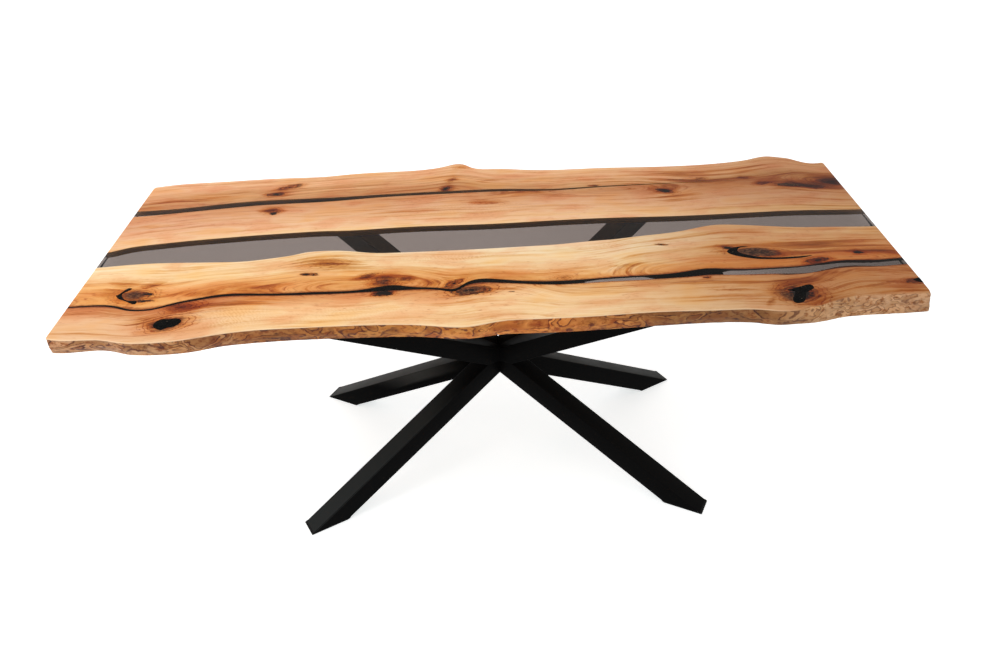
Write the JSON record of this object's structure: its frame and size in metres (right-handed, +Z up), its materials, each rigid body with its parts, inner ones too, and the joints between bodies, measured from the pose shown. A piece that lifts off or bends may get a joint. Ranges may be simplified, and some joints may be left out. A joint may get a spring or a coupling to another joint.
{
  "type": "live edge dining table",
  "caption": "Dining table: a live edge slab top with a smoked resin river on a black crossed frame of square steel tube.",
  "frame": {"origin": "on the floor, under the middle of the top's outline", "axes": "+X along the table's length, +Y from the front live edge to the back live edge, +Z up"},
  "size_m": [2.1219, 0.934, 0.77],
  "materials": {
    "back_slab_wood": "satin lacquered hardwood, orange-brown with darker figure",
    "front_board_wood": "satin lacquered hardwood, pale sapwood at the live edge and orange heartwood at the seam",
    "smoked_resin": "clear smoke-grey casting resin, polished flush",
    "black_resin": "opaque black casting resin, polished flush",
    "black_steel": "matt black powder coat on steel",
    "black_fastener": "black oxide steel",
    "zinc_insert": "zinc plated threaded sleeve",
    "pad_rubber": "thin black rubber pad"
  },
  "bodies": {
    "root": {"back_slab": "back_slab_wood", "front_inner_board": "front_board_wood", "front_outer_board": "front_board_wood", "river_resin": "smoked_resin", "front_seam_resin": "smoked_resin", "back_crack_resin": "smoked_resin", "knot_fill_front_left": "black_resin", "knot_fill_front_right": "black_resin", "knot_fill_right_end": "black_resin", "knot_fill_eye": "black_resin", "knot_fill_left_crescent": "black_resin", "leg_front_left": "black_steel", "arm_front_left": "black_steel", "foot_plate_front_left": "black_steel", "foot_pad_front_left": "pad_rubber", "bolting_plate_front_left": "black_steel", "bolts_front_left": "black_fastener", "washers_front_left": "black_fastener", "inserts_front_left": "zinc_insert", "leg_front_right": "black_steel", "arm_front_right": "black_steel", "foot_plate_front_right": "black_steel", "foot_pad_front_right": "pad_rubber", "bolting_plate_front_right": "black_steel", "bolts_front_right": "black_fastener", "washers_front_right": "black_fastener", "inserts_front_right": "zinc_insert", "leg_back_left": "black_steel", "arm_back_left": "black_steel", "foot_plate_back_left": "black_steel", "foot_pad_back_left": "pad_rubber", "bolting_plate_back_left": "black_steel", "bolts_back_left": "black_fastener", "washers_back_left": "black_fastener", "inserts_back_left": "zinc_insert", "leg_back_right": "black_steel", "arm_back_right": "black_steel", "foot_plate_back_right": "black_steel", "foot_pad_back_right": "pad_rubber", "bolting_plate_back_right": "black_steel", "bolts_back_right": "black_fastener", "washers_back_right": "black_fastener", "inserts_back_right": "zinc_insert"}
  },
  "joints": []
}
